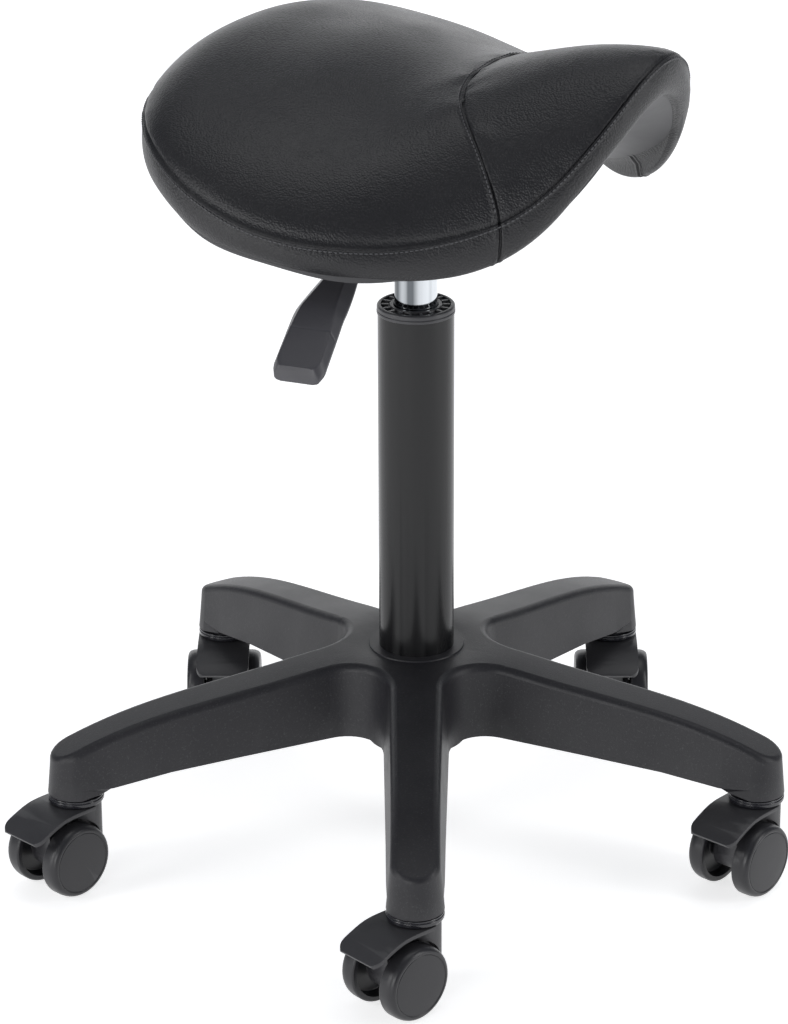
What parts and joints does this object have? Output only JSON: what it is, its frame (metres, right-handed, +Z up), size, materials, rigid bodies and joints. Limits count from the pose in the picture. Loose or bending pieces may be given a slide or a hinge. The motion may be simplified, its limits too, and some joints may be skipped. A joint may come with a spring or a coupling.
{
  "type": "adjustable swivel saddle stool",
  "caption": "Height-adjustable saddle stool: padded saddle seat on a gas lift, star base on twin-wheel swivel casters, paddle lever under the seat.",
  "frame": {"origin": "on the floor under the axis of the column", "axes": "+Z up along the column, one leg of the base along -Y, the seat's nose 30 degrees from +X towards -Y at rest"},
  "size_m": [0.5171, 0.4913, 0.577],
  "materials": {
    "base_nylon": "moulded glass-filled nylon, fine grain",
    "column_paint": "satin black powder coat",
    "bush_plastic": "moulded acetal, satin",
    "zinc_steel": "zinc plated",
    "rod_steel": "hard chromed rod",
    "buffer_rubber": "moulded rubber",
    "cylinder_chrome": "polished hard chrome",
    "seal_plastic": "moulded seal",
    "mechanism_paint": "black powder coat",
    "pan_plastic": "smooth moulded polypropylene",
    "seat_foam": "moulded cold-cure foam",
    "seat_cover": "synthetic leather, fine pebble grain",
    "lever_steel": "black painted rod",
    "lever_plastic": "moulded grip, fine texture",
    "caster_nylon": "moulded nylon, satin",
    "caster_ring": "moulded ring, polished edge",
    "wheel_nylon": "moulded nylon wheel, satin"
  },
  "bodies": {
    "base": {"base_star": "base_nylon", "column_tube": "column_paint", "guide_bush": "bush_plastic", "lower_washer": "zinc_steel", "caster_front_stem": "zinc_steel", "caster_right_stem": "zinc_steel", "caster_rear_right_stem": "zinc_steel", "caster_rear_left_stem": "zinc_steel", "caster_left_stem": "zinc_steel"},
    "lift_rod": {"piston_rod": "rod_steel", "retaining_clip": "zinc_steel", "thrust_bearing": "zinc_steel", "upper_washer": "zinc_steel", "rubber_buffer": "buffer_rubber"},
    "seat_carrier": {"gas_cylinder": "cylinder_chrome", "cylinder_seal": "seal_plastic", "taper_socket": "mechanism_paint", "mechanism_channel": "mechanism_paint", "lever_pivot_pin": "zinc_steel", "seat_plate": "mechanism_paint", "seat_bolts": "zinc_steel", "seat_nuts": "zinc_steel", "seat_pan": "pan_plastic", "seat_foam": "seat_foam", "cover_rear": "seat_cover", "cover_front": "seat_cover", "side_band": "seat_cover"},
    "lever": {"lever_rod": "lever_steel", "lever_paddle": "lever_plastic"},
    "button": {"release_button": "zinc_steel"},
    "caster_front": {"caster_front_housing": "caster_nylon", "caster_front_neck_ring": "caster_ring", "caster_front_axle": "zinc_steel"},
    "caster_front_wheel_left": {"caster_front_wheel_left": "wheel_nylon"},
    "caster_front_wheel_right": {"caster_front_wheel_right": "wheel_nylon"},
    "caster_right": {"caster_right_housing": "caster_nylon", "caster_right_neck_ring": "caster_ring", "caster_right_axle": "zinc_steel"},
    "caster_right_wheel_left": {"caster_right_wheel_left": "wheel_nylon"},
    "caster_right_wheel_right": {"caster_right_wheel_right": "wheel_nylon"},
    "caster_rear_right": {"caster_rear_right_housing": "caster_nylon", "caster_rear_right_neck_ring": "caster_ring", "caster_rear_right_axle": "zinc_steel"},
    "caster_rear_right_wheel_left": {"caster_rear_right_wheel_left": "wheel_nylon"},
    "caster_rear_right_wheel_right": {"caster_rear_right_wheel_right": "wheel_nylon"},
    "caster_rear_left": {"caster_rear_left_housing": "caster_nylon", "caster_rear_left_neck_ring": "caster_ring", "caster_rear_left_axle": "zinc_steel"},
    "caster_rear_left_wheel_left": {"caster_rear_left_wheel_left": "wheel_nylon"},
    "caster_rear_left_wheel_right": {"caster_rear_left_wheel_right": "wheel_nylon"},
    "caster_left": {"caster_left_housing": "caster_nylon", "caster_left_neck_ring": "caster_ring", "caster_left_axle": "zinc_steel"},
    "caster_left_wheel_left": {"caster_left_wheel_left": "wheel_nylon"},
    "caster_left_wheel_right": {"caster_left_wheel_right": "wheel_nylon"}
  },
  "joints": [
    {"name": "seat_swivel", "type": "hinge", "parent": "base", "child": "lift_rod", "pos_m": [0, 0, 0.075], "axis": [0, 0, 1], "continuous": true},
    {"name": "seat_lift", "type": "slide", "parent": "lift_rod", "child": "seat_carrier", "axis": [0, 0, 1], "range_m": [-0.04, 0.1]},
    {"name": "lever_lift", "type": "hinge", "parent": "seat_carrier", "child": "lever", "pos_m": [-0.01026, -0.02819, 0.47], "axis": [-0.9397, 0.342, 0], "range_deg": [0, 5], "stiffness_Nm_per_rad": 6, "springref_deg": -3.44},
    {"name": "button_press", "type": "slide", "parent": "seat_carrier", "child": "button", "axis": [0, 0, -1], "range_m": [0, 0.0028], "stiffness_N_per_m": 400, "springref_m": -0.002},
    {"name": "caster_front_swivel", "type": "hinge", "parent": "base", "child": "caster_front", "pos_m": [0, -0.2363, 0.05], "axis": [0, 0, 1], "continuous": true},
    {"name": "caster_front_wheel_left_spin", "type": "hinge", "parent": "caster_front", "child": "caster_front_wheel_left", "pos_m": [-0.01273, -0.24817, 0.025], "axis": [0.682, -0.7314, 0], "continuous": true},
    {"name": "caster_front_wheel_right_spin", "type": "hinge", "parent": "caster_front", "child": "caster_front_wheel_right", "pos_m": [-0.01273, -0.24817, 0.025], "axis": [0.682, -0.7314, 0], "continuous": true},
    {"name": "caster_right_swivel", "type": "hinge", "parent": "base", "child": "caster_right", "pos_m": [0.22473, -0.07302, 0.05], "axis": [0, 0, 1], "continuous": true},
    {"name": "caster_right_wheel_left_spin", "type": "hinge", "parent": "caster_right", "child": "caster_right_wheel_left", "pos_m": [0.21332, -0.08615, 0.025], "axis": [0.7547, -0.6561, 0], "continuous": true},
    {"name": "caster_right_wheel_right_spin", "type": "hinge", "parent": "caster_right", "child": "caster_right_wheel_right", "pos_m": [0.21332, -0.08615, 0.025], "axis": [0.7547, -0.6561, 0], "continuous": true},
    {"name": "caster_rear_right_swivel", "type": "hinge", "parent": "base", "child": "caster_rear_right", "pos_m": [0.13889, 0.19117, 0.05], "axis": [0, 0, 1], "continuous": true},
    {"name": "caster_rear_right_wheel_left_spin", "type": "hinge", "parent": "caster_rear_right", "child": "caster_rear_right_wheel_left", "pos_m": [0.13889, 0.17377, 0.025], "axis": [1, 0, 0], "continuous": true},
    {"name": "caster_rear_right_wheel_right_spin", "type": "hinge", "parent": "caster_rear_right", "child": "caster_rear_right_wheel_right", "pos_m": [0.13889, 0.17377, 0.025], "axis": [1, 0, 0], "continuous": true},
    {"name": "caster_rear_left_swivel", "type": "hinge", "parent": "base", "child": "caster_rear_left", "pos_m": [-0.13889, 0.19117, 0.05], "axis": [0, 0, 1], "continuous": true},
    {"name": "caster_rear_left_wheel_left_spin", "type": "hinge", "parent": "caster_rear_left", "child": "caster_rear_left_wheel_left", "pos_m": [-0.13889, 0.17377, 0.025], "axis": [1, 0, 0], "continuous": true},
    {"name": "caster_rear_left_wheel_right_spin", "type": "hinge", "parent": "caster_rear_left", "child": "caster_rear_left_wheel_right", "pos_m": [-0.13889, 0.17377, 0.025], "axis": [1, 0, 0], "continuous": true},
    {"name": "caster_left_swivel", "type": "hinge", "parent": "base", "child": "caster_left", "pos_m": [-0.22473, -0.07302, 0.05], "axis": [0, 0, 1], "continuous": true},
    {"name": "caster_left_wheel_left_spin", "type": "hinge", "parent": "caster_left", "child": "caster_left_wheel_left", "pos_m": [-0.23682, -0.08554, 0.025], "axis": [0.7193, -0.6947, 0], "continuous": true},
    {"name": "caster_left_wheel_right_spin", "type": "hinge", "parent": "caster_left", "child": "caster_left_wheel_right", "pos_m": [-0.23682, -0.08554, 0.025], "axis": [0.7193, -0.6947, 0], "continuous": true}
  ],
  "couplings": [
    {"joint": "button_press", "follows": "lever_lift", "m_per_rad": 0.03}
  ]
}
